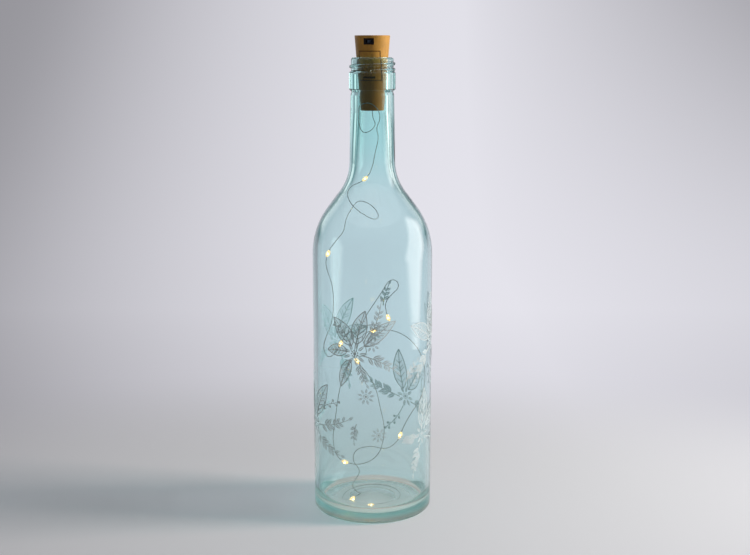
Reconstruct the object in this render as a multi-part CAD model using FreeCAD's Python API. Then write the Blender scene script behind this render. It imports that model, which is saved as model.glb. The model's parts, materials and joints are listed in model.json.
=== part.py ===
import FreeCAD, Part
import math
import os

# A glass wine bottle with a string of ten small lights inside it.
# The lights hang from a cork-shaped battery light that sits in the bottle's mouth.
# Millimetres, +Z up. The origin is the middle of the ring that the bottle stands on.
# The photograph is seen from -Y.

Vector = FreeCAD.Vector

# Bottle, outside
bottle_height = 290.0
body_radius = 38.0
shoulder_start = 167.5  # height where the straight body ends
shoulder_radius = 50.0  # round of the shoulder, seen from the side
shoulder_slope = math.radians(37.2)  # lean of the shoulder between its two curves
neck_sweep_radius = 31.2  # hollow curve from the shoulder into the neck
neck_radius = 14.33
neck_taper = math.radians(1.1)
heel_radius = 3.4
standing_ring_width = 2.5

# Bottle, inside
body_wall = 2.8
neck_wall = 3.4  # where the neck starts
inner_neck_taper = math.radians(3.2)
bore_radius = 9.25
inner_heel_radius = 10.2
base_thickness = 4.8  # glass over the standing ring

# Push-up under the bottle: a shallow cone and a steeper dome in its middle
dome_radius = 15.0
cone_rise = 1.6
dome_rise = 5.5
inner_cone_rise = 1.2
inner_dome_rise = 3.15
dome_way_share = 0.55  # a point of the dome's curve, this far out from its middle
dome_fall_share = 0.3  # and how much of its rise the dome has lost there

# Screw finish at the mouth, with the rounded band below it
band_radius = 14.45
band_height = 11.2
band_top_below_rim = 8.8
band_edge = 0.5
groove_depth = 0.6  # the neck draws in just below the band
groove_height = 3.0
finish_radius = 13.2  # glass between the threads
rim_round = 1.3
thread_radius = 1.15  # half the width of the round thread
thread_inset = 0.15  # how far the thread's crest stays inside the band
thread_pitch = 3.5
thread_turns = 1.5
thread_top_below_rim = 3.1

# Cork-shaped light
cork_length = 45.6
cork_standout = 13.2  # how much of it shows above the rim
cork_top_radius = 10.95
cork_bottom_radius = 7.25
cork_edge = 0.35
seat_clearance = 0.2  # gap between the cork and the glass that it sits in
face_turn = 12.0  # degrees that the switch faces left of the viewer

# What the cork holds, from the top down
cap_thickness = 1.6
cap_wall = 1.2  # cork left round the top cap
fit_gap = 0.1  # gap between pieces that are pressed or glued together
switch_room_height = 5.2
switch_room_wall = 1.8
room_floor = 2.6
cell_count = 3
cell_radius = 5.8
cell_height = 5.4
cell_clearance = 0.15
plate_thickness = 0.3
spring_height = 0.9
pocket_floor = 1.7
board_ledge = 1.0
board_radius = 5.0
board_thickness = 1.0
board_room_share = 0.47  # of the height that the cells leave; the bottom plug takes the rest

# Button cells
cell_rim_width = 0.5
cell_seal_width = 0.5
cell_seal_height = 1.0
cell_step = 0.3  # how far the cap stands above the can

# Battery contacts
plate_radius = 3.9
spring_wire = 0.3
spring_bottom_radius = 3.2
spring_top_radius = 1.5
spring_turns = 2.0

# Battery door
door_width = 13.0
door_height = 17.5
door_thickness = 1.1
door_gap = 0.12
door_rib_thickness = 0.8
door_rib_margin = 0.55  # how far the rib behind the door stays inside its edge
nail_slot_width = 6.7
nail_slot_height = 1.2
nail_slot_depth = 0.7
nail_slot_up = 1.7  # centre of the slot above the door's lower edge

# Slide switch
window_width = 6.5
window_height = 3.9
window_up_share = 0.6  # of the switch room's height
bezel_thickness = 1.4
bezel_recess = 0.65  # from the cork's round face, at the middle of the window
switch_width = 8.4
switch_height = 3.6
switch_depth = 3.4
switch_wall = 0.6
lever_width = 1.4
lever_height = 1.4
lever_travel = 1.2  # each way from the middle
lever_standout = 0.5
lever_foot_width = 2.8
lever_foot_thickness = 0.8
slide_gap = 0.15
wiper_thickness = 0.3
pin_width = 0.5
pin_length = 1.6
pin_spacing = 2.2

# Electronics and leads
resistor_length = 3.2
resistor_width = 1.6
resistor_height = 0.6
resistor_offset = 1.6  # in front of the board's middle
lead_diameter = 0.8
lead_bend = 1.6
lead_channel_gap = 0.5
lead_turn_drop = 2.6  # below the board room's top, where the return lead turns inwards
channel_foot_drop = 3.25
plug_thickness = 2.4
plug_ring_width = 1.0

# Light string: ten lights, about 100 mm apart on a 1 m wire
wire_diameter = 0.5
wire_sleeve_gap = 0.05
bead_length = 4.2
bead_diameter = 2.6
bead_end_diameter = 1.0
chip_length = 1.0
chip_width = 0.6
chip_height = 0.5

overrun = 1.0  # how far a cutting tool reaches past what it cuts

# The wire's route from the cork down, as points that its bends go round, in one stretch per light.
# A light sits halfway between the last point of its stretch and the first point of the next,
# and the last light is on the wire's end.
# The wire hangs in the neck as far as the first light, and lies against the glass below it.
string_route = [
    [
        (0.0, 0.0, 257.6), (0.0, 0.0, 253.2), (2.4, 0.4, 249.4), (-0.6, -1.6, 245.2),
        (-5.6, -3.6, 243.6), (-8.0, -3.0, 249.0), (-7.9, -3.4, 255.4), (-7.4, -4.8, 260.4),
        (-4.6, -7.4, 262.4), (-0.4, -8.7, 262.4), (3.6, -7.8, 258.2), (4.6, -5.6, 252.4),
        (2.2, -2.6, 246.6), (4.2, 0.4, 241.0), (1.8, 1.6, 232.0), (0.3, -1.0, 223.8),
        (-1.8, -3.0, 217.6),
    ],
    [
        (-7.2, -3.0, 212.8), (-13.3, -5.0, 210.6), (-15.5, -8.0, 204.4), (-11.8, -9.0, 197.6),
        (-4.0, -7.0, 192.0), (2.3, -4.0, 189.0), (4.5, 0.0, 192.0), (-1.2, 3.0, 198.3),
        (-9.4, 4.0, 200.7), (-13.5, 1.0, 195.0), (-16.9, -3.0, 189.2), (-17.5, -7.0, 182.5),
        (-22.1, -10.0, 177.6), (-25.8, -11.0, 172.8),
    ],
    [
        (-28.9, -11.0, 165.6), (-28.6, -6.0, 157.8), (-25.6, 2.0, 146.5), (-25.0, 2.0, 134.0),
        (-25.4, -6.0, 124.0), (-29.0, -14.0, 115.8), (-30.2, -15.0, 108.7), (-26.3, -22.0, 104.2),
        (-21.3, -25.0, 110.4),
    ],
    [
        (-17.1, -25.0, 119.4), (-13.0, -24.0, 123.4), (-8.1, -21.0, 118.2), (-9.7, -19.0, 107.7),
        (-17.3, -20.0, 95.6), (-20.8, -19.0, 82.2), (-23.3, -16.0, 62.8), (-25.3, -15.0, 48.4),
        (-22.1, -16.0, 36.3),
    ],
    [
        (-12.5, -19.0, 33.6), (-4.1, -18.0, 34.0), (3.7, -17.0, 38.9), (7.1, -17.0, 48.9),
        (7.6, -17.0, 59.6), (4.5, -18.0, 72.7), (2.6, -21.0, 84.1), (-2.1, -24.0, 94.1),
        (-7.1, -25.0, 100.6),
    ],
    [
        (-11.6, -26.0, 106.7), (-9.9, -26.0, 116.5), (-5.5, -25.0, 130.3), (1.6, -22.0, 140.5),
        (6.9, -19.0, 148.1), (10.4, -16.0, 153.6), (15.4, -15.0, 153.2), (16.4, -17.0, 148.6),
        (11.9, -18.2, 144.8), (7.8, -20.0, 140.1), (8.5, -22.0, 133.9),
    ],
    [
        (11.0, -22.0, 127.5), (7.6, -18.0, 122.9), (0.4, -12.0, 124.5), (-7.3, -4.0, 120.3),
        (-14.5, 4.0, 111.1), (-14.9, 9.5, 101.5), (-9.0, 13.4, 95.6), (-2.6, 9.6, 99.8),
        (-7.4, 0.0, 112.4), (-3.9, -9.0, 118.7),
    ],
    [
        (4.9, -15.0, 121.4), (15.4, -20.0, 121.8), (25.2, -18.0, 114.6), (31.5, -13.0, 102.2),
        (33.2, -9.0, 85.9), (30.1, -13.0, 75.1), (23.0, -19.0, 66.4), (18.9, -22.0, 59.1),
    ],
    [
        (15.8, -21.0, 49.4), (8.7, -12.6, 41.4), (-1.0, -5.0, 41.6), (-11.2, 1.0, 37.2),
        (-13.4, -2.0, 30.3), (-7.5, -8.0, 25.9), (-10.4, -11.8, 21.6), (-13.4, -15.0, 17.8),
        (-9.6, -17.2, 14.2), (-7.0, -12.8, 12.0), (-10.4, -10.2, 9.2),
    ],
    [
        (-15.4, -13.8, 6.6), (-19.2, -10.6, 6.4), (-19.6, -2.4, 6.6), (-15.6, 7.6, 6.9),
        (-7.6, 15.0, 7.0), (3.2, 17.0, 7.0), (13.0, 12.6, 6.9), (18.4, 3.4, 6.8),
        (18.0, -7.4, 6.5), (11.6, -16.6, 6.4), (4.0, -21.6, 6.5), (-1.0, -23.4, 6.5),
    ],
]
bend_share = 0.45  # how much of the shorter run each bend takes

# Heights and radii that follow from the sizes above
cork_bottom = bottle_height + cork_standout - cork_length
cork_top = cork_bottom + cork_length
cork_slope = (cork_top_radius - cork_bottom_radius) / cork_length
cap_radius = cork_top_radius - cap_wall
band_top = bottle_height - band_top_below_rim
band_bottom = band_top - band_height
groove_start = band_bottom - groove_height
room_top = cork_top - cap_thickness
room_bottom = room_top - switch_room_height
window_middle = room_bottom + switch_room_height * window_up_share
pocket_top = room_bottom - room_floor
cells_bottom = pocket_top - plate_thickness - cell_count * cell_height
pocket_bottom = cells_bottom - spring_height - plate_thickness
pocket_radius = cell_radius + cell_clearance
pocket_width = door_width - 2 * door_rib_margin + 2 * door_gap
door_low = (pocket_top + pocket_bottom - door_height) / 2
door_high = door_low + door_height
board_room_top = pocket_bottom - pocket_floor
height_left = board_room_top - board_thickness - cork_bottom
board_top = board_room_top - height_left * board_room_share
board_bottom = board_top - board_thickness
lead_radius = lead_diameter / 2
contact_lead_offset = plate_radius / 2
channel_radius = (lead_diameter + lead_channel_gap) / 2
channel_offset = pocket_radius + lead_radius + lead_channel_gap + fit_gap
wire_radius = wire_diameter / 2


def cork_radius(z):
    return cork_bottom_radius + (z - cork_bottom) * cork_slope


# Where the switch meets the back of its bezel, and the bezel's front, in Y
switch_front = bezel_recess + bezel_thickness - cork_radius(window_middle)
bezel_front = switch_front - bezel_thickness


def at(radius, z):
    """A point of an outline that is turned about the bottle's axis."""
    return Vector(radius, 0, z)


def line(*points):
    return [Part.LineSegment(a, b).toShape() for a, b in zip(points, points[1:])]


def arc(start, middle, end):
    return [Part.Arc(start, middle, end).toShape()]


def start_of(edges):
    return edges[0].valueAt(edges[0].FirstParameter)


def end_of(edges):
    return edges[-1].valueAt(edges[-1].LastParameter)


def round_about(centre, radius, first, last):
    """An arc of an outline about a centre, between two angles from +X."""
    def place(angle):
        return centre + Vector(radius * math.cos(angle), 0, radius * math.sin(angle))
    return arc(place(first), place((first + last) / 2), place(last))


def turn(edges):
    """The solid that a closed outline makes when it is turned about Z."""
    face = Part.Face(Part.Wire(Part.__sortEdges__(edges)))
    return face.revolve(Vector(0, 0, 0), Vector(0, 0, 1), 360)


def cylinder(radius, low, high, x=0, y=0):
    return Part.makeCylinder(radius, high - low, Vector(x, y, low))


def ring(outer, inner, low, high):
    return cylinder(outer, low, high).cut(cylinder(inner, low - overrun, high + overrun))


def block(width, y_low, y_high, z_low, z_high, x=0):
    """A box that is centred on x."""
    corner = Vector(x - width / 2, y_low, z_low)
    return Part.makeBox(width, y_high - y_low, z_high - z_low, corner)


def cork_cone(inset, low, high):
    """The cork's tapered body between two heights, with its side moved in by an inset."""
    return Part.makeCone(cork_radius(low) - inset, cork_radius(high) - inset, high - low, Vector(0, 0, low))


def round_edges(solid):
    return [edge for edge in solid.Edges if edge.Curve.TypeId == "Part::GeomCircle"]


def moved(shape, place):
    copy = shape.copy()
    copy.Placement = place.multiply(copy.Placement)
    return copy


def arc_from(start, direction, end):
    """The arc that leaves start in a direction and ends at end."""
    along = (end - start).normalize()
    side = (direction - along * direction.dot(along)).normalize()
    half_turn = math.acos(min(1, direction.dot(along)))
    rise = (end - start).Length / 2 * math.tan(half_turn / 2)
    return Part.Arc(start, (start + end) * 0.5 + side * rise, end).toShape()


def joined_arcs(start, leaving, end, arriving):
    """Two arcs that meet smoothly and join two points in the given directions."""
    gap = end - start
    spread = 2 * (1 - leaving.dot(arriving))
    reach = gap.dot(leaving + arriving)
    size = (math.sqrt(reach * reach + spread * gap.dot(gap)) - reach) / spread
    middle = (start + end + (leaving - arriving) * size) * 0.5
    across = (middle - start - leaving * size).normalize()
    return [arc_from(start, leaving, middle), arc_from(middle, across, end)]


def pipe(edges, radius):
    """A round tube along a chain of edges."""
    start = start_of(edges)
    heading = edges[0].tangentAt(edges[0].FirstParameter)
    section = Part.Wire(Part.makeCircle(radius, start, heading))
    return Part.Wire(edges).makePipeShell([section], True, False)


def coil(first_radius, last_radius, low, high, turns, wire, first_angle=0.0):
    """A round wire wound about Z in one unbroken tube, with its least gap to itself printed."""
    span = 2 * math.pi * turns
    growth = last_radius - first_radius

    def place(share):
        angle = first_angle + span * share
        radius = first_radius + growth * share
        return Vector(radius * math.cos(angle), radius * math.sin(angle), low + (high - low) * share)

    def heading(share):
        angle = first_angle + span * share
        radius = first_radius + growth * share
        x = growth * math.cos(angle) - radius * span * math.sin(angle)
        y = growth * math.sin(angle) + radius * span * math.cos(angle)
        return Vector(x, y, high - low).normalize()

    quarters = round(turns * 4)
    shares = [n / quarters for n in range(quarters + 1)]
    edges = []
    for a, b in zip(shares, shares[1:]):
        edges += joined_arcs(place(a), heading(a), place(b), heading(b))
    one_turn_on = [(place(share), place(share + 1 / turns)) for share in shares if share + 1 / turns <= 1]
    print("coil of", turns, "turns, least gap %.2f" % (min((b - a).Length for a, b in one_turn_on) - wire))
    return pipe(edges, wire / 2)


def route_edges(points):
    """Straight runs through a route, joined by arcs as large as the runs allow."""
    edges = []
    radii = []
    last = points[0]
    for before, corner, after in zip(points, points[1:], points[2:]):
        arriving = corner - before
        leaving = after - corner
        cut = bend_share * min(arriving.Length, leaving.Length)
        arriving.normalize()
        leaving.normalize()
        half = math.acos(max(-1, min(1, arriving.dot(leaving)))) / 2
        radius = cut / math.tan(half)
        inward = (leaving - arriving).normalize()
        start = corner - arriving * cut
        end = corner + leaving * cut
        middle = corner + inward * (radius / math.cos(half) - radius)
        edges += line(last, start)
        edges += arc(start, middle, end)
        radii.append(radius)
        last = end
    edges += line(last, points[-1])
    return edges, radii


def tube(points, diameter, name):
    """A wire or lead along a route; it prints its bends and compares its volume with its length."""
    edges, radii = route_edges(points)
    solid = pipe(edges, diameter / 2)
    length = sum(edge.Length for edge in edges)
    volume_share = solid.Volume / (math.pi * diameter ** 2 / 4 * length)
    print(name, "length %.1f, volume share %.4f, bend radii:" % (length, volume_share))
    print(" ", " ".join("%.1f" % radius for radius in radii))
    return solid


def shoulder(wall_low, wall_high, taper):
    """The outline from the straight body up to the neck, moved in by a wall at each end."""
    start = at(body_radius - wall_low, shoulder_start)
    low_radius = shoulder_radius - wall_low
    high_radius = neck_sweep_radius + wall_high
    narrowing = start.x - (neck_radius - wall_high)
    by_curves = (low_radius + high_radius) * (1 - math.cos(shoulder_slope))
    length = (narrowing - by_curves) / math.sin(shoulder_slope)
    lower = round_about(start - at(low_radius, 0), low_radius, 0, shoulder_slope)
    low_end = end_of(lower)
    high_start = low_end + at(-math.sin(shoulder_slope), math.cos(shoulder_slope)) * length
    high_centre = high_start + at(math.cos(shoulder_slope), math.sin(shoulder_slope)) * high_radius
    upper = round_about(high_centre, high_radius, math.pi + shoulder_slope, math.pi + taper)
    return lower + line(low_end, high_start) + upper


def along_taper(point, taper, z):
    """The point of a tapered neck at a height."""
    return at(point.x - (z - point.z) * math.tan(taper), z)


def reach_radius(point, taper, radius):
    """The point where a tapered neck reaches a radius."""
    return at(radius, point.z + (point.x - radius) / math.tan(taper))


def dome(top, edge):
    """The outline of a shallow dome from its top out to its edge."""
    way = at(edge.x * dome_way_share, top.z - (top.z - edge.z) * dome_fall_share)
    return arc(top, way, edge)


def bottle_outside():
    """The outline of the glass from the push-up's top, round the heel and up to the rim."""
    ring_outer = at(body_radius - heel_radius, 0)
    ring_inner = at(ring_outer.x - standing_ring_width, 0)
    under = dome(at(0, dome_rise), at(dome_radius, cone_rise))
    heel = round_about(at(ring_outer.x, heel_radius), heel_radius, -math.pi / 2, 0)
    side = shoulder(0, 0, neck_taper)
    neck_top = along_taper(end_of(side), neck_taper, groove_start)
    edges = under + line(end_of(under), ring_inner, ring_outer) + heel
    edges += line(end_of(heel), start_of(side)) + side
    edges += line(
        end_of(side),
        neck_top,
        at(neck_top.x - groove_depth, band_bottom - 2 * band_edge),
        at(band_radius - band_edge, band_bottom),
        at(band_radius, band_bottom + band_edge),
        at(band_radius, band_top - band_edge),
        at(band_radius - band_edge, band_top),
        at(finish_radius, band_top + band_edge),
        at(finish_radius, bottle_height - rim_round),
    )
    return edges


def bottle_inside():
    """The outline of the inside from the middle of the floor up to the mouth."""
    inner_radius = body_radius - body_wall
    cone_edge = at(dome_radius, base_thickness + inner_cone_rise)
    floor = dome(cone_edge + at(-dome_radius, inner_dome_rise), cone_edge)
    heel_centre = at(inner_radius - inner_heel_radius, base_thickness + inner_heel_radius)
    heel = round_about(heel_centre, inner_heel_radius, -math.pi / 2, 0)
    side = shoulder(body_wall, neck_wall, inner_neck_taper)
    seat_z = cork_bottom + (bore_radius - seat_clearance - cork_bottom_radius) / cork_slope
    mouth_z = bottle_height - rim_round
    edges = floor + line(cone_edge, start_of(heel)) + heel
    edges += line(end_of(heel), start_of(side)) + side
    edges += line(
        end_of(side),
        reach_radius(end_of(side), inner_neck_taper, bore_radius),
        at(bore_radius, seat_z),
        at(cork_radius(mouth_z) + seat_clearance, mouth_z),
    )
    return edges


def make_bottle():
    outside = bottle_outside()
    inside = bottle_inside()
    outer_rim = end_of(outside)
    inner_rim = end_of(inside)
    rim = arc(outer_rim, at((outer_rim.x + inner_rim.x) / 2, bottle_height), inner_rim)
    axis = line(start_of(outside), start_of(inside))
    glass = turn(outside + rim + inside + axis)
    return glass.fuse(make_thread()).removeSplitter()


def make_thread():
    """The rounded thread that stands out of the finish, with rounded ends."""
    centre = band_radius - thread_inset - thread_radius
    high = bottle_height - thread_top_below_rim
    low = high - thread_pitch * thread_turns
    first = -math.pi / 2
    last = first + 2 * math.pi * thread_turns
    body = coil(centre, centre, low, high, thread_turns, 2 * thread_radius, first)
    ends = []
    for angle, z in ((first, low), (last, high)):
        place = Vector(centre * math.cos(angle), centre * math.sin(angle), z)
        ends.append(Part.makeSphere(thread_radius, place))
    return body.fuse(ends)


def make_housing():
    """The cork's tapered body with its battery pocket, switch room, door seat and lead channel."""
    body = cork_cone(0, cork_bottom, cork_top)
    body = body.makeFillet(cork_edge, round_edges(body))
    lead_hole = lead_radius + fit_gap
    window_low = window_middle - window_height / 2
    tools = [
        cylinder(cap_radius, room_top, cork_top + overrun),
        cylinder(cork_radius(room_bottom) - switch_room_wall, room_bottom, room_top + overrun),
        block(switch_width + 2 * fit_gap, switch_front, 0, room_bottom, room_top + overrun),
        block(window_width, -cork_top_radius - overrun, switch_front + overrun,
              window_low, window_low + window_height),
        cylinder(pocket_radius, pocket_bottom, pocket_top),
        block(pocket_width, -cork_top_radius, 0,
              door_low + door_rib_margin - door_gap, door_high - door_rib_margin + door_gap),
        door_shell(-overrun, door_thickness + fit_gap, door_gap),
        cylinder(board_radius + fit_gap, cork_bottom - overrun, board_top),
        cylinder(board_radius - board_ledge, board_top - overrun, board_room_top),
        lead_channel(),
        cylinder(lead_hole, pocket_top - overrun, room_bottom + overrun, pin_spacing, -contact_lead_offset),
        cylinder(lead_hole, board_room_top - overrun, pocket_bottom + overrun, -contact_lead_offset),
    ]
    return body.cut(tools)


def door_shell(outer_inset, inner_inset, grow):
    """A curved panel in the shape of the door, between two depths below the cork's side."""
    low = door_low - grow
    high = door_high + grow
    outer = cork_cone(outer_inset, low - overrun, high + overrun)
    inner = cork_cone(inner_inset, low - 2 * overrun, high + 2 * overrun)
    front = block(door_width + 2 * grow, -cork_top_radius - overrun, 0, low, high)
    return outer.cut(inner).common(front)


def lead_channel():
    """The way that the return lead takes behind the cells, from the switch to the board."""
    low = board_room_top - channel_foot_drop
    down = cylinder(channel_radius, low, room_bottom + overrun, 0, channel_offset)
    inner_end = board_radius - board_ledge - overrun
    across = block(2 * channel_radius, inner_end, channel_offset, low, board_room_top)
    return down.fuse(across)


def make_top_cap():
    cap = cylinder(cap_radius - fit_gap, room_top, cork_top)
    top_rim = [edge for edge in round_edges(cap) if edge.CenterOfMass.z > room_top + fit_gap]
    return cap.makeFillet(cork_edge / 2, top_rim)


def make_door():
    """The battery door: a curved panel with a rib behind it and a slot for a fingernail."""
    panel = door_shell(0, door_thickness, 0)
    rib_low = door_low + door_rib_margin
    rib_high = door_high - door_rib_margin
    outer = cork_cone(door_thickness, rib_low - overrun, rib_high + overrun)
    inner = cork_cone(door_thickness + door_rib_thickness, rib_low - 2 * overrun, rib_high + 2 * overrun)
    limits = block(door_width - 2 * door_rib_margin, -cork_top_radius, 0, rib_low, rib_high)
    rib = outer.cut(inner).common(limits)
    slot_z = door_low + nail_slot_up
    face = -cork_radius(slot_z)
    slot = block(nail_slot_width, face - overrun, face + nail_slot_depth,
                 slot_z - nail_slot_height / 2, slot_z + nail_slot_height / 2)
    return panel.fuse(rib).cut(slot).removeSplitter()


def make_cell(low):
    """One button cell: its can, the seal round its cap, and the cap."""
    can_top = low + cell_height - cell_step
    seal_bottom = can_top - cell_seal_height
    seal_radius = cell_radius - cell_rim_width
    cap_edge = seal_radius - cell_seal_width
    can = cylinder(cell_radius, low, can_top).cut(cylinder(seal_radius, seal_bottom, can_top + overrun))
    return {
        "can": can,
        "seal": ring(seal_radius, cap_edge, seal_bottom, can_top),
        "cap": cylinder(cap_edge, seal_bottom, low + cell_height),
    }


def make_contacts():
    """The flat contact above the cells, and the sprung one below them."""
    low = pocket_bottom + plate_thickness
    wire = spring_wire / 2
    return {
        "contact_plate": cylinder(plate_radius, pocket_top - plate_thickness, pocket_top),
        "spring_plate": cylinder(plate_radius, pocket_bottom, low),
        "contact_spring": coil(spring_bottom_radius, spring_top_radius, low + wire, cells_bottom - wire,
                               spring_turns, spring_wire),
    }


def about_window(width, y_low, y_high, height, x=0):
    """A block that is centred on the switch window's height."""
    return block(width, y_low, y_high, window_middle - height / 2, window_middle + height / 2, x)


def make_switch():
    """The slide switch behind its window: bezel, base, lever with its foot, wiper and pins."""
    sweep = 2 * lever_travel + 2 * slide_gap
    foot_height = switch_height - 2 * switch_wall - 2 * slide_gap
    foot_front = switch_front + slide_gap
    wiper_front = foot_front + lever_foot_thickness
    wiper_back = wiper_front + wiper_thickness
    switch_back = switch_front + switch_depth
    bezel = about_window(window_width - 2 * fit_gap, bezel_front, switch_front, window_height - 2 * fit_gap)
    slot = about_window(lever_width + sweep, bezel_front - overrun, switch_front + overrun,
                        lever_height + 2 * slide_gap)
    base = about_window(switch_width, switch_front, switch_back, switch_height)
    room = about_window(lever_foot_width + sweep, switch_front - overrun, wiper_back + slide_gap,
                        foot_height + 2 * slide_gap)
    foot = about_window(lever_foot_width, foot_front, wiper_front, foot_height)
    lever = about_window(lever_width, bezel_front - lever_standout, wiper_front, lever_height)
    pins = [about_window(pin_width, switch_back, switch_back + pin_length, pin_width, n * pin_spacing)
            for n in (-1, 0, 1)]
    return {
        "switch_bezel": bezel.cut(slot),
        "switch_base": base.cut(room),
        "switch_slider": foot.fuse(lever).removeSplitter(),
        "switch_wiper": about_window(lever_foot_width / 2, wiper_front, wiper_back, foot_height / 2),
        "switch_pins": Part.makeCompound(pins),
    }


def make_electronics():
    """The board with its resistor, the plug that holds it, and the end of the light wire."""
    resistor_front = -resistor_offset - resistor_width / 2
    plug = cylinder(board_radius, cork_bottom, board_bottom)
    hollow = cylinder(board_radius - plug_ring_width, cork_bottom + plug_thickness, board_bottom + overrun)
    wire_hole = cylinder(wire_radius + wire_sleeve_gap, cork_bottom - overrun, board_bottom)
    return {
        "circuit_board": cylinder(board_radius, board_bottom, board_top),
        "resistor": block(resistor_length, resistor_front, resistor_front + resistor_width,
                          board_top, board_top + resistor_height),
        "bottom_plug": plug.cut([hollow, wire_hole]),
        "string_tail": cylinder(wire_radius, cork_bottom, board_bottom),
    }


def make_leads():
    """The three insulated leads inside the cork."""
    pin_end = switch_front + switch_depth + pin_length
    turn_z = board_room_top - lead_turn_drop
    inner = board_radius - board_ledge - lead_diameter
    positive = [
        Vector(pin_spacing, -contact_lead_offset, pocket_top),
        Vector(pin_spacing, -contact_lead_offset, window_middle),
        Vector(pin_spacing, pin_end, window_middle),
    ]
    back = [
        Vector(0, pin_end, window_middle),
        Vector(0, channel_offset - lead_bend, window_middle),
        Vector(0, channel_offset, window_middle - lead_bend),
        Vector(0, channel_offset, turn_z),
        Vector(0, inner, turn_z),
        Vector(0, inner, board_top),
    ]
    return {
        "lead_positive": tube(positive, lead_diameter, "lead_positive"),
        "lead_return": tube(back, lead_diameter, "lead_return"),
        "lead_spring": cylinder(lead_radius, board_top, pocket_bottom, -contact_lead_offset),
    }


def make_light(middle, heading, at_end):
    """One clear bead on the wire, and the chip that glows inside it."""
    half = bead_length / 2
    end_radius = bead_end_diameter / 2
    sleeve = wire_radius + wire_sleeve_gap
    outline = arc(at(end_radius, -half), at(bead_diameter / 2, 0), at(end_radius, half))
    outline += line(at(end_radius, half), at(0, half), at(0, -half), at(end_radius, -half))
    hole_end = 0 if at_end else half + overrun
    hole = cylinder(sleeve, -half - overrun, hole_end)
    chip = block(chip_width, -sleeve - chip_height, -sleeve, -chip_length / 2, chip_length / 2)
    bead = turn(outline).cut([hole, chip])
    place = FreeCAD.Placement(middle, FreeCAD.Rotation(Vector(0, 0, 1), heading))
    return moved(bead, place), moved(chip, place)


def make_string():
    """The wire in its two stretches, and the lights on it."""
    stretches = [[Vector(*point) for point in stretch] for stretch in string_route]
    stretches[0][0] = Vector(0, 0, cork_bottom)
    lights = [((a[-1] + b[0]) * 0.5, b[0] - a[-1], False) for a, b in zip(stretches, stretches[1:])]
    end = stretches[-1]
    lights.append((end[-1], end[-1] - end[-2], True))
    first_light = lights[0][0]
    below = [first_light] + sum(stretches[1:], [])
    parts = {
        "string_wire_neck": tube(stretches[0] + [first_light], wire_diameter, "string_wire_neck"),
        "string_wire": tube(below, wire_diameter, "string_wire"),
    }
    for n, light in enumerate(lights, 1):
        bead, chip = make_light(*light)
        parts["led_bead_%02d" % n] = bead
        parts["led_chip_%02d" % n] = chip
    return parts


def cork_parts():
    """Every piece of the cork, built facing the viewer and then turned to its real angle."""
    parts = {"cork_housing": make_housing(), "cork_top_cap": make_top_cap(), "battery_door": make_door()}
    for n in range(cell_count):
        for piece, shape in make_cell(cells_bottom + n * cell_height).items():
            parts["cell_%d_%s" % (n + 1, piece)] = shape
    for made in (make_contacts(), make_switch(), make_electronics(), make_leads()):
        parts.update(made)
    turned = FreeCAD.Placement(Vector(0, 0, 0), FreeCAD.Rotation(Vector(0, 0, 1), -face_turn))
    return {name: moved(shape, turned) for name, shape in parts.items()}


def main():
    parts = {"bottle_glass": make_bottle()}
    parts.update(make_string())
    parts.update(cork_parts())
    os.makedirs("parts", exist_ok=True)
    for name, shape in parts.items():
        shape.exportStep("parts/%s.step" % name)
        facts = (name, len(shape.Solids), shape.isValid(), shape.Volume)
        print("%-18s solids %d  valid %s  volume %.2f" % facts)


main()
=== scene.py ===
import json
import math

import bmesh
import bpy
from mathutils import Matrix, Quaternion, Vector


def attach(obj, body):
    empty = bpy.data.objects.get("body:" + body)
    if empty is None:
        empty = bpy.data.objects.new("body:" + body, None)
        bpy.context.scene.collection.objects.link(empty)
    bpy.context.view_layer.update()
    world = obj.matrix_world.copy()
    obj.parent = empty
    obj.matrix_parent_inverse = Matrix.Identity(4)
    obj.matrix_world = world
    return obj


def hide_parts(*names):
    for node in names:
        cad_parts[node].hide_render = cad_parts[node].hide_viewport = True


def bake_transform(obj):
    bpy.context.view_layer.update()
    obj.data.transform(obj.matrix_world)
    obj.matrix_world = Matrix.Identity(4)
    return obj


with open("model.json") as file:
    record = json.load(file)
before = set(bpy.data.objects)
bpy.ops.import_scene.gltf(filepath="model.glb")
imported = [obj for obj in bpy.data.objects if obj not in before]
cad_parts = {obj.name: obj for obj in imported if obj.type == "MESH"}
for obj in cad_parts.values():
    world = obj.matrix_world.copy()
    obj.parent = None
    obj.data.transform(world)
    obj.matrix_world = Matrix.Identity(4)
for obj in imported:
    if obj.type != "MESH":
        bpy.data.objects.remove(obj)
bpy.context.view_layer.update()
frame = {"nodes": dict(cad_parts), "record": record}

# The dressed bottle light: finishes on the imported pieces, the string of lights as one twisted wire,
# the white print round the bottle, and a pale studio. Metres, +Z up, seen from -Y.

nodes = frame["nodes"]


def mm(value):
    return value * 0.001


def srgb(red, green, blue):
    """A colour as it is seen on screen, from 0 to 255, as the linear colour that a material takes."""
    def linear(value):
        share = value / 255
        return share / 12.92 if share <= 0.04045 else ((share + 0.055) / 1.055) ** 2.4
    return (linear(red), linear(green), linear(blue), 1.0)


def shaded(tone, *shares):
    """A colour times one share, or times a share each for its red, green and blue."""
    if len(shares) == 1:
        shares = shares * 3
    return tuple(value * share for value, share in zip(tone, shares)) + (1,)


# Camera: level with the cork's top, looking slightly down at the middle of the bottle
camera_place = (mm(1.65), mm(-750.0), mm(296.2))
camera_tilt = math.radians(79.1)
camera_lens = 57.46


def make_camera():
    data = bpy.data.cameras.new("camera")
    data.lens = camera_lens
    camera = bpy.data.objects.new("camera", data)
    camera.location = camera_place
    camera.rotation_euler = (camera_tilt, 0, 0)
    bpy.context.scene.collection.objects.link(camera)
    bpy.context.scene.camera = camera


make_camera()

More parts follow.
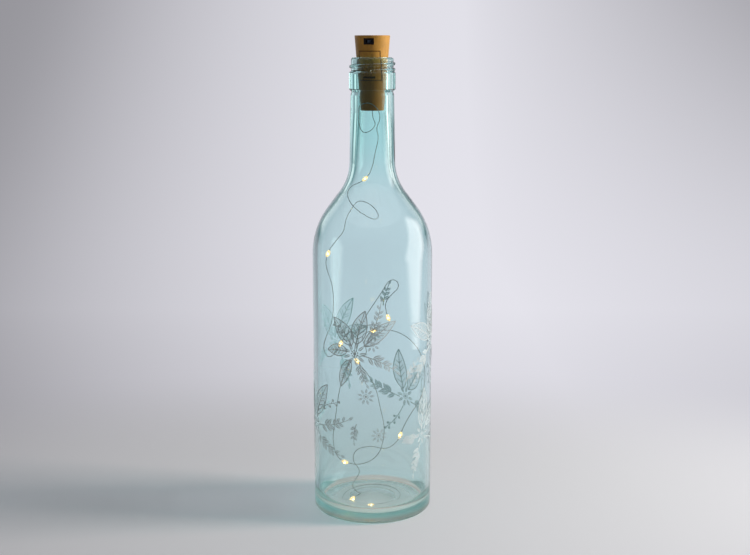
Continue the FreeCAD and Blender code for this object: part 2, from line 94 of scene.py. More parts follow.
# The string of lights. Its route is in millimetres, from the cork's plug to the tenth light.
wire_diameter = mm(0.5)
first_light_height = mm(215.2)  # the first light's height
string_route = [
    (0.0, 0.0, 257.6), (0.0, 0.0, 253.2), (2.4, 0.4, 249.4), (-0.6, -1.6, 245.2),
    (-5.6, -3.6, 243.6), (-8.0, -3.0, 249.0), (-7.9, -3.4, 255.4), (-7.4, -4.8, 260.4),
    (-4.6, -7.4, 262.4), (-0.4, -8.7, 262.4), (3.6, -7.8, 258.2), (4.6, -5.6, 252.4),
    (2.2, -2.6, 246.6), (4.2, 0.4, 241.0), (1.8, 1.6, 232.0), (0.3, -1.0, 223.8),
    (-1.8, -3.0, 217.6), (-7.2, -3.0, 212.8), (-13.3, -5.0, 210.6), (-15.5, -8.0, 204.4),
    (-11.8, -9.0, 197.6), (-4.0, -7.0, 192.0), (2.3, -4.0, 189.0), (4.5, 0.0, 192.0),
    (-1.2, 3.0, 198.3), (-9.4, 4.0, 200.7), (-13.5, 1.0, 195.0), (-16.9, -3.0, 189.2),
    (-17.5, -7.0, 182.5), (-22.1, -10.0, 177.6), (-25.8, -11.0, 172.8), (-28.9, -11.0, 165.6),
    (-28.6, -6.0, 157.8), (-25.6, 2.0, 146.5), (-25.0, 2.0, 134.0), (-25.4, -6.0, 124.0),
    (-29.0, -14.0, 115.8), (-30.2, -15.0, 108.7), (-26.3, -22.0, 104.2), (-21.3, -25.0, 110.4),
    (-17.1, -25.0, 119.4), (-13.0, -24.0, 123.4), (-8.1, -21.0, 118.2), (-9.7, -19.0, 107.7),
    (-17.3, -20.0, 95.6), (-20.8, -19.0, 82.2), (-23.3, -16.0, 62.8), (-25.3, -15.0, 48.4),
    (-22.1, -16.0, 36.3), (-12.5, -19.0, 33.6), (-4.1, -18.0, 34.0), (3.7, -17.0, 38.9),
    (7.1, -17.0, 48.9), (7.6, -17.0, 59.6), (4.5, -18.0, 72.7), (2.6, -21.0, 84.1),
    (-2.1, -24.0, 94.1), (-7.1, -25.0, 100.6), (-11.6, -26.0, 106.7), (-9.9, -26.0, 116.5),
    (-5.5, -25.0, 130.3), (1.6, -22.0, 140.5), (6.9, -19.0, 148.1), (10.4, -16.0, 153.6),
    (15.4, -15.0, 153.2), (16.4, -17.0, 148.6), (11.9, -18.2, 144.8), (7.8, -20.0, 140.1),
    (8.5, -22.0, 133.9), (11.0, -22.0, 127.5), (7.6, -18.0, 122.9), (0.4, -12.0, 124.5),
    (-7.3, -4.0, 120.3), (-14.5, 4.0, 111.1), (-14.9, 9.5, 101.5), (-9.0, 13.4, 95.6),
    (-2.6, 9.6, 99.8), (-7.4, 0.0, 112.4), (-3.9, -9.0, 118.7), (4.9, -15.0, 121.4),
    (15.4, -20.0, 121.8), (25.2, -18.0, 114.6), (31.5, -13.0, 102.2), (33.2, -9.0, 85.9),
    (30.1, -13.0, 75.1), (23.0, -19.0, 66.4), (18.9, -22.0, 59.1), (15.8, -21.0, 49.4),
    (8.7, -12.6, 41.4), (-1.0, -5.0, 41.6), (-11.2, 1.0, 37.2), (-13.4, -2.0, 30.3),
    (-7.5, -8.0, 25.9), (-10.4, -11.8, 21.6), (-13.4, -15.0, 17.8), (-9.6, -17.2, 14.2),
    (-7.0, -12.8, 12.0), (-10.4, -10.2, 9.2), (-15.4, -13.8, 6.6), (-19.2, -10.6, 6.4),
    (-19.6, -2.4, 6.6), (-15.6, 7.6, 6.9), (-7.6, 15.0, 7.0), (3.2, 17.0, 7.0),
    (13.0, 12.6, 6.9), (18.4, 3.4, 6.8), (18.0, -7.4, 6.5), (11.6, -16.6, 6.4),
    (4.0, -21.6, 6.5), (-1.0, -23.4, 6.5),
]
cork_exit = tuple(mm(value) for value in string_route[0])
route_order = 3  # how smoothly the curve runs past the route's points
route_steps = 12  # points drawn for each stretch of it
strand_turn = mm(5.0)  # one full twist of the two strands
strand_waist = 0.62  # how deep the groove between the strands is, as a share of the outer radius
ring_sides = 10


def spline_points(route):
    """The points that a smooth curve through the route passes, as Blender draws it."""
    data = bpy.data.curves.new("string_route", "CURVE")
    data.dimensions = "3D"
    spline = data.splines.new("NURBS")
    spline.points.add(len(route) - 1)
    for point, place in zip(spline.points, route):
        point.co = (*(mm(value) for value in place), 1)
    spline.order_u = route_order
    spline.use_endpoint_u = True
    spline.resolution_u = route_steps
    curve = bpy.data.objects.new("string_route", data)
    bpy.context.scene.collection.objects.link(curve)
    mesh = bpy.data.meshes.new_from_object(curve)
    points = [vertex.co.copy() for vertex in mesh.vertices]
    bpy.data.meshes.remove(mesh)
    bpy.data.objects.remove(curve)
    return points


def add_object(name, mesh_maker, smooth=True):
    """A new object with the mesh that mesh_maker fills."""
    mesh = bpy.data.meshes.new(name)
    shape = bmesh.new()
    mesh_maker(shape)
    bmesh.ops.recalc_face_normals(shape, faces=shape.faces)
    shape.to_mesh(mesh)
    shape.free()
    for face in mesh.polygons:
        face.use_smooth = smooth
    item = bpy.data.objects.new(name, mesh)
    bpy.context.scene.collection.objects.link(item)
    return item


def twisted_wire(path):
    """Two thin strands laid round each other, drawn as one tube with a groove on each side."""
    def fill(shape):
        side = Vector((1, 0, 0))
        travelled = 0
        rings = []
        for n, point in enumerate(path):
            ahead = path[min(n + 1, len(path) - 1)]
            behind = path[max(n - 1, 0)]
            along = (ahead - behind).normalized()
            side = (side - along * side.dot(along)).normalized()
            across = along.cross(side)
            if n:
                travelled += (point - path[n - 1]).length
            twist = 2 * math.pi * travelled / strand_turn
            ring = []
            for k in range(ring_sides):
                angle = 2 * math.pi * k / ring_sides
                lobe = strand_waist + (1 - strand_waist) * abs(math.cos(angle))
                turned = angle + twist
                outward = side * math.cos(turned) + across * math.sin(turned)
                ring.append(shape.verts.new(point + outward * lobe * wire_diameter / 2))
            rings.append(ring)
        for first, second in zip(rings, rings[1:]):
            for k in range(ring_sides):
                after = (k + 1) % ring_sides
                shape.faces.new((first[k], first[after], second[after], second[k]))
        shape.faces.new(rings[0][::-1])
        shape.faces.new(rings[-1])
    return fill


def make_string():
    path = spline_points(string_route)
    wire = add_object("string_of_lights_wire", twisted_wire(path))
    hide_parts("string_wire_neck", "string_wire")
    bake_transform(wire)
    return wire


string_wire = make_string()


# The white print round the body: sprays of leaves, star flowers and berries, as thin ink on the glass.
# It is drawn flat, in millimetres along the bottle's surface, to the right of the front and upwards.
# Widths and gaps are in millimetres too, slants and bends are in degrees, and what else is under one is
# a share of the leaf, flower, twig or dot that it is on.
body_radius = mm(38.0)
print_base = body_radius + mm(0.03)  # the ink's inner face
wash_face = body_radius + mm(0.05)
ink_face = body_radius + mm(0.09)

# The widths of each kind of line, at its start and at its end
stem_width = 0.75
line_width = 0.62
stem_line = (stem_width, stem_width / 2)
thin_stem_line = (stem_width * 0.8, stem_width / 2)
stalk_line = (stem_width / 2, stem_width / 2)
middle_line = (line_width * 1.2, line_width * 0.6)
edge_line = (line_width, line_width)
vein_line = (line_width * 0.8, line_width * 0.45)

# Leaves and their veins
leaf_lean = 0.8  # under 1 a leaf is widest before its middle
leaf_fullness = 0.85
leaf_gap = 0.16  # half the clear line along a small leaf's middle
small_leaf_steps = 8
wash_columns = 5
first_vein = 0.16
vein_stretch = 0.62
vein_ahead = 0.1  # a vein is as long as the leaf allows this share further on
vein_reach = 0.52
vein_slant = 42
vein_bend = 14
vein_steps = 4

# Twigs with leaves in pairs
twig_steps = 18
first_pair = 0.22
pair_stretch = 0.7
pair_shift = 0.035  # one leaf of a pair sits a little further on than the other
pair_shrink = 0.45
pair_slant = 48
pair_bend = 12
tip_length = 0.6
tip_breadth = 0.55

# Star flowers
petal_start = 0.36
petal_fullness = 1.9
dot_ring = 0.25
ring_dot = 0.06
middle_dot = 0.13
dot_rows = 5
dot_trim = 0.04  # how flat a dot is at its top and bottom

# Twigs with berries
berry_stem_steps = 12
first_berry = 0.3
stalk_length = 2.2  # in berries
stalk_steps = 3
stalk_slant = 50
stalk_bend = 20
berry_seat = 0.8


def stepped(place, heading, length):
    """The point a length away from a place, in a direction in degrees from the way right."""
    angle = math.radians(heading)
    return place[0] + length * math.cos(angle), place[1] + length * math.sin(angle)


def bent_line(start, heading, length, bend, steps=14):
    """Points and headings along a line that turns by bend degrees in all."""
    line = [(start[0], start[1], heading)]
    for n in range(steps):
        middle = heading + bend * (n + 0.5) / steps
        x, y = stepped(line[-1], middle, length / steps)
        line.append((x, y, heading + bend * (n + 1) / steps))
    return line


def band(line, widths, columns=2):
    """A grid of points to both sides of a line, as wide at each point as widths says."""
    shares = [k / (columns - 1) - 0.5 for k in range(columns)]
    return [
        [stepped(point, point[2] + 90, width * share) for share in shares]
        for point, width in zip(line, widths)
    ]


def tapered(line, first, last):
    """A line as a band that changes from its first width to its last."""
    count = len(line) - 1
    return band(line, [first + (last - first) * n / count for n in range(count + 1)])


def leaf_width(share, breadth):
    """How wide a leaf is, at a share of its length."""
    return breadth * math.sin(math.pi * share ** leaf_lean) ** leaf_fullness


def leaf_edge(middle, breadth, way):
    """The line along one side of a leaf."""
    count = len(middle) - 1
    edge = [
        stepped(point, point[2] + 90, leaf_width(n / count, breadth) * way / 2)
        for n, point in enumerate(middle)
    ]
    course = [
        math.degrees(math.atan2(after[1] - before[1], after[0] - before[0]))
        for before, after in zip(edge, edge[1:])
    ]
    course.append(course[-1])
    return tapered([(*point, turn) for point, turn in zip(edge, course)], *edge_line)


def outlined_leaf(base, heading, length, breadth, bend=18, veins=5):
    """A leaf drawn with a line round it, a middle line and slanting veins, over a pale wash."""
    middle = bent_line(base, heading, length, bend)
    count = len(middle) - 1
    drawn = [tapered(middle, *middle_line)]
    for way in (-1, 1):
        drawn.append(leaf_edge(middle, breadth, way))
        for n in range(veins):
            share = first_vein + vein_stretch * n / veins
            point = middle[round(share * count)]
            reach = leaf_width(share + vein_ahead, breadth) * vein_reach
            vein = bent_line(point, point[2] + vein_slant * way, reach, vein_bend * way, vein_steps)
            drawn.append(tapered(vein, *vein_line))
    widths = [leaf_width(n / count, breadth) for n in range(count + 1)]
    return drawn, [band(middle, widths, wash_columns)]


def solid_leaf(base, heading, length, breadth, bend=14):
    """The two halves of a small filled leaf, with a clear line between them."""
    middle = bent_line(base, heading, length, bend, small_leaf_steps)
    count = len(middle) - 1
    halves = []
    for way in (-1, 1):
        half = []
        for n, point in enumerate(middle):
            outer = leaf_width(n / count, breadth) / 2
            inner = min(leaf_gap, outer / 2)
            reaches = (inner, (inner + outer) / 2, outer)
            half.append([stepped(point, point[2] + 90, reach * way) for reach in reaches])
        halves.append(half)
    return halves


def twig(base, heading, length, bend, pairs, leaf_length, leaf_breadth):
    """A stem with small leaves in pairs that shrink towards a last leaf at its tip."""
    stem = bent_line(base, heading, length, bend, twig_steps)
    count = len(stem) - 1
    drawn = [tapered(stem, *stem_line)]
    for n in range(pairs):
        share = first_pair + pair_stretch * n / pairs
        size = 1 - pair_shrink * share
        for way in (-1, 1):
            point = stem[min(count, round((share + pair_shift * way) * count))]
            drawn += solid_leaf(point, point[2] + pair_slant * way, leaf_length * size,
                                leaf_breadth * size, -pair_bend * way)
    tip = stem[-1]
    drawn += solid_leaf(tip, tip[2], leaf_length * tip_length, leaf_breadth * tip_breadth)
    return drawn, []


def dot(place, radius):
    """A filled round spot."""
    rows = []
    for n in range(dot_rows + 1):
        angle = math.pi * (dot_trim + (1 - 2 * dot_trim) * n / dot_rows)
        half = radius * math.sin(angle)
        up = place[1] + radius * math.cos(angle)
        rows.append([(place[0] - half, up), (place[0], up), (place[0] + half, up)])
    return rows


def star_flower(place, radius, petals=8, turn=0.0):
    """A flower with narrow petals round a ring of dots."""
    drawn = []
    for n in range(petals):
        heading = turn + 360 * n / petals
        drawn += solid_leaf(stepped(place, heading, radius * petal_start), heading,
                            radius * (1 - petal_start), radius * petal_fullness / petals, 0)
        between = stepped(place, heading + 180 / petals, radius * dot_ring)
        drawn.append(dot(between, radius * ring_dot))
    drawn.append(dot(place, radius * middle_dot))
    return drawn, []


def berry(stalk, size):
    """A berry at the end of a stalk."""
    tip = stalk[-1]
    return dot(stepped(tip, tip[2], size * berry_seat), size)


def berry_twig(base, heading, length, bend, berries, size):
    """A thin stem with a berry on each short side stalk and one at its tip."""
    stem = bent_line(base, heading, length, bend, berry_stem_steps)
    count = len(stem) - 1
    drawn = [tapered(stem, *thin_stem_line)]
    for n in range(berries):
        point = stem[round((first_berry + (1 - first_berry) * n / berries) * count)]
        way = 1 if n % 2 else -1
        stalk = bent_line(point, point[2] + stalk_slant * way, size * stalk_length, -stalk_bend * way,
                          stalk_steps)
        drawn.append(tapered(stalk, *stalk_line))
        drawn.append(berry(stalk, size))
    drawn.append(berry(stem, size))
    return drawn, []


def spray(*pieces):
    """The ink lines and the pale washes of several drawings, as one list of each."""
    drawn = [grid for lines, _ in pieces for grid in lines]
    washed = [grid for _, washes in pieces for grid in washes]
    return drawn, washed


def rim_of(rows, columns):
    """The places on the edge of a grid, in order round it."""
    down = [(a, 0) for a in range(rows)]
    along = [(rows - 1, b) for b in range(1, columns)]
    back_up = [(a, columns - 1) for a in range(rows - 2, -1, -1)]
    back = [(0, b) for b in range(columns - 2, 0, -1)]
    return down + along + back_up + back


def printed(grids, inner, outer):
    """Thin closed shells that follow the bottle's round, one for each grid of points."""
    def corner(shape, place, radius):
        angle = mm(place[0]) / radius
        return shape.verts.new((radius * math.sin(angle), -radius * math.cos(angle), mm(place[1])))

    def fill(shape):
        for grid in grids:
            low = [[corner(shape, place, inner) for place in row] for row in grid]
            high = [[corner(shape, place, outer) for place in row] for row in grid]
            rows, columns = len(grid), len(grid[0])
            for a in range(rows - 1):
                for b in range(columns - 1):
                    for face in (low, high):
                        near, far = face[a], face[a + 1]
                        shape.faces.new((near[b], far[b], far[b + 1], near[b + 1]))
            rim = rim_of(rows, columns)
            for (a, b), (c, d) in zip(rim, rim[1:] + rim[:1]):
                shape.faces.new((low[a][b], low[c][d], high[c][d], high[a][b]))
    return fill


sprays = {
    "upper_front": spray(
        outlined_leaf((-13, 116), 118, 21, 9.5), outlined_leaf((-10, 117), 82, 22, 9.5, -14),
        outlined_leaf((-5, 116), 46, 25, 8.5, -16), outlined_leaf((-16, 112), 172, 15, 7.5, 22),
        outlined_leaf((-14, 107), 244, 19, 7.0, 12, 6),
        star_flower((-11, 111), 8.2, 9), star_flower((0, 117), 5.0, 8, 14),
        twig((-6, 110), -14, 24, -26, 5, 6.4, 2.4), twig((-8, 106), 276, 15, 22, 4, 5.4, 2.2),
        twig((-3, 119), 60, 26, 22, 5, 5.6, 2.1), berry_twig((-16, 118), 138, 14, -20, 4, 0.8)),
    "right": spray(
        outlined_leaf((50, 118), 100, 27, 11, -18), outlined_leaf((53, 116), 58, 24, 10, -20),
        outlined_leaf((46, 116), 142, 23, 10, 20), star_flower((49, 113), 7.0, 8, 12),
        twig((46, 110), 214, 24, 26, 5, 7.0, 2.8), twig((54, 110), 318, 26, -24, 5, 7.0, 2.8),
        berry_twig((50, 106), 268, 22, 24, 5, 0.9)),
    "lower_left": spray(
        outlined_leaf((-45, 66), 66, 26, 11, -14), outlined_leaf((-50, 66), 112, 27, 11, 16),
        star_flower((-48, 61), 7.4, 8, 8), twig((-42, 60), 6, 28, 22, 5, 7.0, 2.8),
        twig((-44, 56), 318, 26, 28, 5, 6.6, 2.7), twig((-54, 60), 186, 26, -26, 5, 7.0, 2.8),
        berry_twig((-44, 68), 38, 24, -24, 5, 0.9)),
    "lower_right": spray(
        outlined_leaf((36, 60), 74, 25, 10, 16), outlined_leaf((41, 60), 36, 24, 10, -14),
        star_flower((37, 55), 7.0, 8, 4), twig((33, 54), 188, 14, -24, 4, 5.8, 2.3),
        twig((35, 49), 238, 20, 26, 4, 6.4, 2.6), berry_twig((42, 52), 340, 24, 22, 5, 0.9)),
    "back_left": spray(
        outlined_leaf((-92, 108), 112, 27, 11, 16), outlined_leaf((-88, 108), 68, 27, 11, -16),
        outlined_leaf((-95, 105), 156, 22, 9, 18), star_flower((-90, 103), 7.4),
        twig((-85, 101), 350, 28, -22, 5, 7.2, 2.9), twig((-93, 97), 236, 26, 26, 5, 7.0, 2.8),
        berry_twig((-86, 110), 42, 26, 22, 5, 0.95)),
    "back_right": spray(
        outlined_leaf((96, 70), 74, 27, 11, 14), outlined_leaf((91, 70), 120, 26, 11, 18),
        star_flower((94, 65), 7.4, 8, 10), twig((99, 64), 12, 27, 22, 5, 7.0, 2.8),
        twig((89, 62), 192, 27, -22, 5, 7.0, 2.8), berry_twig((96, 58), 296, 22, 26, 5, 0.9)),
    "scattered": spray(
        star_flower((-4, 84), 5.6, 9, 6), star_flower((4, 59), 5.2, 9, 20),
        twig((22, 92), 62, 15, -20, 3, 5.2, 2.2), twig((-10, 66), 250, 12, 24, 3, 4.6, 2.0),
        star_flower((-72, 74), 4.8, 7, 3), twig((-66, 130), 84, 15, -18, 3, 5.2, 2.2),
        star_flower((74, 84), 4.8, 7, 12), twig((70, 62), 66, 15, 18, 3, 5.2, 2.2),
        star_flower((118, 106), 4.8, 7, 9), twig((112, 126), 98, 15, 16, 3, 5.2, 2.2)),
}


def make_print():
    """Every spray's ink lines and its pale wash, each as one piece on the bottle."""
    pieces = {"print_lines": [], "print_wash": []}
    for place, (drawn, washed) in sprays.items():
        for kind, grids, face in (("print_lines", drawn, ink_face), ("print_wash", washed, wash_face)):
            if grids:
                item = add_object(kind + "_" + place, printed(grids, print_base, face), smooth=False)
                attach(item, "bottle")
                pieces[kind].append(item)
    return pieces


print_pieces = make_print()


class Socket:
    """One output among a material's nodes. Sums on it add the nodes that work them out."""

    def __init__(self, shader, output):
        self.shader = shader
        self.output = output

    def maths(self, operation, *values):
        return self.shader.add("ShaderNodeMath", {"operation": operation}, dict(enumerate(values)))

    def __add__(self, other):
        return self.maths("ADD", self, other)

    def __sub__(self, other):
        return self.maths("SUBTRACT", self, other)

    def __rsub__(self, other):
        return self.maths("SUBTRACT", other, self)

    def __mul__(self, other):
        return self.maths("MULTIPLY", self, other)

    def __truediv__(self, other):
        return self.maths("DIVIDE", self, other)

    def __pow__(self, other):
        return self.maths("POWER", self, other)

    def __neg__(self):
        return self * -1.0

    __radd__ = __add__
    __rmul__ = __mul__

    def size(self):
        return self.maths("ABSOLUTE", self)

    def larger(self, other):
        return self.maths("MAXIMUM", self, other)

    def smaller(self, other):
        return self.maths("MINIMUM", self, other)

    def limited(self, most, blur):
        """Never above most, with a smooth change just below it."""
        return self.maths("SMOOTH_MIN", self, most, blur)

    def rise(self, low, high):
        """0 below low and 1 above high, with a smooth change between them."""
        return self.shader.add("ShaderNodeMapRange", {"interpolation_type": "SMOOTHSTEP"},
                               {"Value": self, "From Min": low, "From Max": high})


class Shader:
    """The nodes of one material."""

    def __init__(self, name, tree=None):
        if tree is None:
            self.material = bpy.data.materials.new(name)
            self.material.use_nodes = True
            tree = self.material.node_tree
        self.tree = tree
        self.tree.nodes.clear()

    def add(self, kind, settings, sockets, output=0):
        """A node of any kind: its settings first, then the values or links of its sockets."""
        node = self.tree.nodes.new(kind)
        for name, value in settings.items():
            setattr(node, name, value)
        for name, value in sockets.items():
            if isinstance(value, Socket):
                self.tree.links.new(value.output, node.inputs[name])
            else:
                node.inputs[name].default_value = value
        return Socket(self, node.outputs[output])

    def place(self):
        """The point of the surface, in the part's own frame."""
        return self.add("ShaderNodeTexCoord", {}, {}, "Object")

    def axes(self, vector):
        split = self.add("ShaderNodeSeparateXYZ", {}, {0: vector})
        return [Socket(self, split.output.node.outputs[n]) for n in range(3)]

    def stretched(self, vector, x, y, z):
        return self.add("ShaderNodeVectorMath", {"operation": "MULTIPLY"}, {0: vector, 1: (x, y, z)})

    def noise(self, vector, scale, detail=2.0):
        """Smooth random spots, from 0 to 1."""
        return self.add("ShaderNodeTexNoise", {}, {"Vector": vector, "Scale": scale, "Detail": detail})

    def cells(self, vector, scale, feature="F1"):
        """Rounded cells: how far each place is from a cell's middle, or from its edge."""
        return self.add("ShaderNodeTexVoronoi", {"feature": feature}, {"Vector": vector, "Scale": scale})

    def mixed(self, share, first, second):
        """A colour between two colours."""
        return self.add("ShaderNodeMix", {"data_type": "RGBA"}, {0: share, 6: first, 7: second}, 2)

    def bump(self, height, distance, strength):
        sockets = {"Height": height, "Distance": distance, "Strength": strength}
        return self.add("ShaderNodeBump", {}, sockets)

    def principled(self, sockets):
        return self.add("ShaderNodeBsdfPrincipled", {}, sockets)

    def transparent(self, colour):
        return self.add("ShaderNodeBsdfTransparent", {}, {"Color": colour})

    def emission(self, colour, strength):
        return self.add("ShaderNodeEmission", {}, {"Color": colour, "Strength": strength})

    def ray(self, name):
        return self.add("ShaderNodeLightPath", {}, {}, name)

    def seen(self):
        """1 for what the camera sees, straight on, mirrored or through glass, and 0 for other light."""
        direct = self.ray("Is Camera Ray").larger(self.ray("Is Glossy Ray"))
        return direct.larger(self.ray("Is Transmission Ray"))

    def blend(self, share, first, second):
        return self.add("ShaderNodeMixShader", {}, {0: share, 1: first, 2: second})

    def finish(self, surface, volume=None):
        links = {"Surface": surface}
        if volume is not None:
            links["Volume"] = volume
        self.add_output(links)
        return self.material

    def add_output(self, links, kind="ShaderNodeOutputMaterial"):
        node = self.tree.nodes.new(kind)
        for name, value in links.items():
            self.tree.links.new(value.output, node.inputs[name])


# Glass. Radii and heights come in pairs, between which one look changes to the next.
glass_tint = (0.878, 0.964, 0.974, 1)  # what is left of white light past one wall
neck_tint = (0.787, 0.983, 0.981, 1)
heel_tint = (1.0, 0.6, 0.54, 1)
depth_tint = (0.2, 0.93, 0.88, 1)  # what the thickness of the glass lets through
depth_density = 26.0
glass_shadow = (0.88, 0.892, 0.91, 1)  # what each face of the glass lets through to a shadow
glass_index = 1.5  # how strongly the glass bends light
neck_heights = (mm(198), mm(246))
underside_slope = 0.15  # the underside is what lies below a flat cone
underside_heights = (mm(6.2), mm(7.0))
underside_tint = 0.4
underside_roughness = 0.6
foot_radii = (mm(34), mm(36))
foot_heights = (mm(0.8), mm(2.2))
foot_roughness = 0.2
heel_radii = (mm(35.3), mm(36))
heel_heights = (mm(3.2), mm(6))


def glass_finish():
    """Aqua bottle glass: clear, faintly wavy, greener the more of it light goes through, stippled below."""
    shader = Shader("aqua_glass")
    place = shader.place()
    waves = shader.noise(shader.stretched(place, 1, 1, 0.35), scale=45, detail=1.0)
    ripple = shader.noise(place, scale=160)
    x, y, z = shader.axes(place)
    radius = (x * x + y * y) ** 0.5
    underside = 1 - (z + radius * underside_slope).rise(*underside_heights)
    foot = radius.rise(*foot_radii) * (1 - z.rise(*foot_heights))
    heel = radius.rise(*heel_radii) * (1 - z.rise(*heel_heights))
    wall_tint = shader.mixed(z.rise(*neck_heights), glass_tint, neck_tint)
    glass = shader.principled({
        "Base Color": shader.mixed((underside * underside_tint).larger(heel), wall_tint, heel_tint),
        "Roughness": (underside * underside_roughness).larger(foot * foot_roughness),
        "IOR": glass_index, "Transmission Weight": 1.0,
        "Normal": shader.bump(waves + ripple * 0.12, distance=mm(0.25), strength=0.25),
    })
    clear = shader.transparent(glass_shadow)
    depth = shader.add("ShaderNodeVolumeAbsorption", {}, {"Color": depth_tint, "Density": depth_density})
    return shader.finish(shader.blend(shader.ray("Is Shadow Ray"), glass, clear), depth)


# Cork
door_turn = math.radians(-12.0)  # the door and the switch face a little to the left of the front
door_half_width = mm(6.5)
door_half_height = mm(8.75)
door_middle = mm(284.95)
door_gap = (mm(0.1), mm(0.45))  # the painted shade in the gap round the door is full to the first width and gone at the second
door_depths = (mm(3), mm(4))  # how far in front of the cork's axis the door begins
slot_half_width = mm(3.35)
slot_half_height = mm(0.6)
slot_middle = mm(277.9)
slot_blur = mm(0.1)
# Painted shade in the gap round the door and in its slot
painted_gap_shade = (0.03, 0.014, 0.006, 1)
painted_gap_shade_cover = 0.8
# Painted shade on the part of the cork that the neck holds: full below the first height and gone above the
# second
neck_shade_heights = (mm(283), mm(291))
neck_shade_shares = (0.64, 0.41, 0.22)  # of the cork's red, green and blue, in the painted shade where the neck holds it
neck_shade_cover = 0.95


def painted_gap_shade_mask(x, y, height):
    """Where painted shade goes: 1 in the narrow gap round the battery door and in its slot for a
    fingernail, and 0 elsewhere.
    """
    across = x * math.cos(door_turn) + y * math.sin(door_turn)
    front = (x * math.sin(door_turn) - y * math.cos(door_turn)).rise(*door_depths)
    edge = (across.size() - door_half_width).larger((height - door_middle).size() - door_half_height)
    slot = (across.size() - slot_half_width).larger((height - slot_middle).size() - slot_half_height)
    gap = 1 - edge.size().rise(*door_gap)
    return gap.larger(1 - slot.rise(-slot_blur, slot_blur)) * front


def cork_finish(name, tone):
    """Cork-coloured satin plastic with lengthwise grain and specks, painted shade where the neck holds it,
    and painted shade in the door's gap and slot.
    """
    shader = Shader(name)
    place = shader.place()
    x, y, height = shader.axes(place)
    grain = shader.noise(shader.stretched(place, 1, 1, 0.12), scale=900, detail=3.0)
    patches = shader.noise(place, scale=160, detail=3.0)
    specks = 1 - shader.cells(shader.stretched(place, 1, 1, 0.5), scale=900).rise(0.12, 0.3)
    ground = shader.mixed(patches.rise(0.3, 0.7), shaded(tone, 1.2), tone)
    spotted = shader.mixed(specks * 0.35 + grain.rise(0.45, 0.75) * 0.3, ground, shaded(tone, 0.6))
    # painted shade where the neck holds the cork
    neck_shade = (1 - height.rise(*neck_shade_heights)) * neck_shade_cover
    neck_shaded = shader.mixed(neck_shade, spotted, shaded(tone, *neck_shade_shares))
    return shader.finish(shader.principled({
        # painted shade in the door's gap and slot
        "Base Color": shader.mixed(painted_gap_shade_mask(x, y, height) * painted_gap_shade_cover, neck_shaded, painted_gap_shade),
        "Roughness": grain * 0.16 + 0.38, "Specular IOR Level": 0.3,
        "Normal": shader.bump(grain + specks * 0.4, distance=mm(0.04), strength=0.35),
    }))


def metal_finish(name, tone, roughness):
    """Plated metal with fine scratches and duller patches."""
    shader = Shader(name)
    place = shader.place()
    scratches = shader.noise(shader.stretched(place, 4, 0.4, 1), scale=1400)
    patches = shader.noise(place, scale=300)
    return shader.finish(shader.principled({
        "Base Color": shader.mixed(patches.rise(0.35, 0.75), tone, shaded(tone, 0.8)), "Metallic": 1.0,
        "Roughness": patches * 0.2 + (roughness - 0.1),
        "Normal": shader.bump(scratches, distance=mm(0.01), strength=0.4),
    }))


def plastic_finish(name, tone, roughness):
    """Moulded plastic or rubber with a fine matt texture."""
    shader = Shader(name)
    place = shader.place()
    texture = shader.noise(place, scale=1200, detail=3.0)
    patches = shader.noise(place, scale=200)
    worn = tuple(min(1, value * 1.35 + 0.01) for value in tone[:3]) + (1,)
    return shader.finish(shader.principled({
        "Base Color": shader.mixed(patches.rise(0.4, 0.8) * 0.5, tone, worn),
        "Roughness": texture * 0.2 + (roughness - 0.1),
        "Normal": shader.bump(texture, distance=mm(0.02), strength=0.3),
    }))


def board_finish():
    """Green circuit board with paler copper tracks under its lacquer."""
    shader = Shader("circuit_board")
    tracks = shader.cells(shader.place(), scale=700, feature="DISTANCE_TO_EDGE").rise(0.05, 0.08)
    return shader.finish(shader.principled({
        "Base Color": shader.mixed(tracks, srgb(70, 140, 70), srgb(20, 84, 40)),
        "Roughness": 0.3 + tracks * 0.1,
        "Normal": shader.bump(1 - tracks, distance=mm(0.03), strength=0.5),
    }))


def bead_finish():
    """The clear, faintly milky bead round a light, which passes the light's glow, with a painted orange
    glow of its own for the chip's light scattered in it.
    """
    shader = Shader("light_bead")
    haze = shader.noise(shader.place(), scale=1500)
    bead = shader.principled({
        "Base Color": (1.0, 0.93, 0.78, 1), "Roughness": haze * 0.12 + 0.02, "IOR": 1.45,
        "Transmission Weight": 1.0,
        # painted glow: the bead's own emission stands in for the chip's light scattered in the resin
        "Emission Color": shader.mixed(haze, (1.0, 0.5, 0.13, 1), (1.0, 0.64, 0.24, 1)),
        "Emission Strength": 0.4,
        "Normal": shader.bump(haze, distance=mm(0.02), strength=0.3),
    })
    clear = shader.transparent((1.0, 0.97, 0.9, 1))
    return shader.finish(shader.blend(shader.ray("Is Shadow Ray"), bead, clear))


def chip_finish():
    """The warm white chip inside a bead, with its yellow phosphor a little uneven."""
    shader = Shader("light_chip")
    spots = shader.noise(shader.place(), scale=3000)
    return shader.finish(shader.principled({
        "Base Color": (1.0, 0.85, 0.5, 1), "Roughness": 0.4,
        "Emission Color": shader.mixed(spots, (1.0, 0.7, 0.28, 1), (1.0, 0.78, 0.38, 1)),
        "Emission Strength": 7.0,
    }))


def ink_finish(name, cover):
    """White ink, a little uneven, that lets some light through."""
    shader = Shader(name)
    place = shader.place()
    grain = shader.noise(place, scale=2600)
    patches = shader.noise(place, scale=260)
    return shader.finish(shader.principled({
        "Base Color": shader.mixed(patches, (0.88, 0.95, 0.94, 1), (0.78, 0.85, 0.84, 1)),
        "Roughness": 0.45 + grain * 0.25, "Alpha": (patches * 0.3 + grain * 0.2 + 0.75) * cover,
        "Normal": shader.bump(grain, distance=mm(0.01), strength=0.3),
    }))


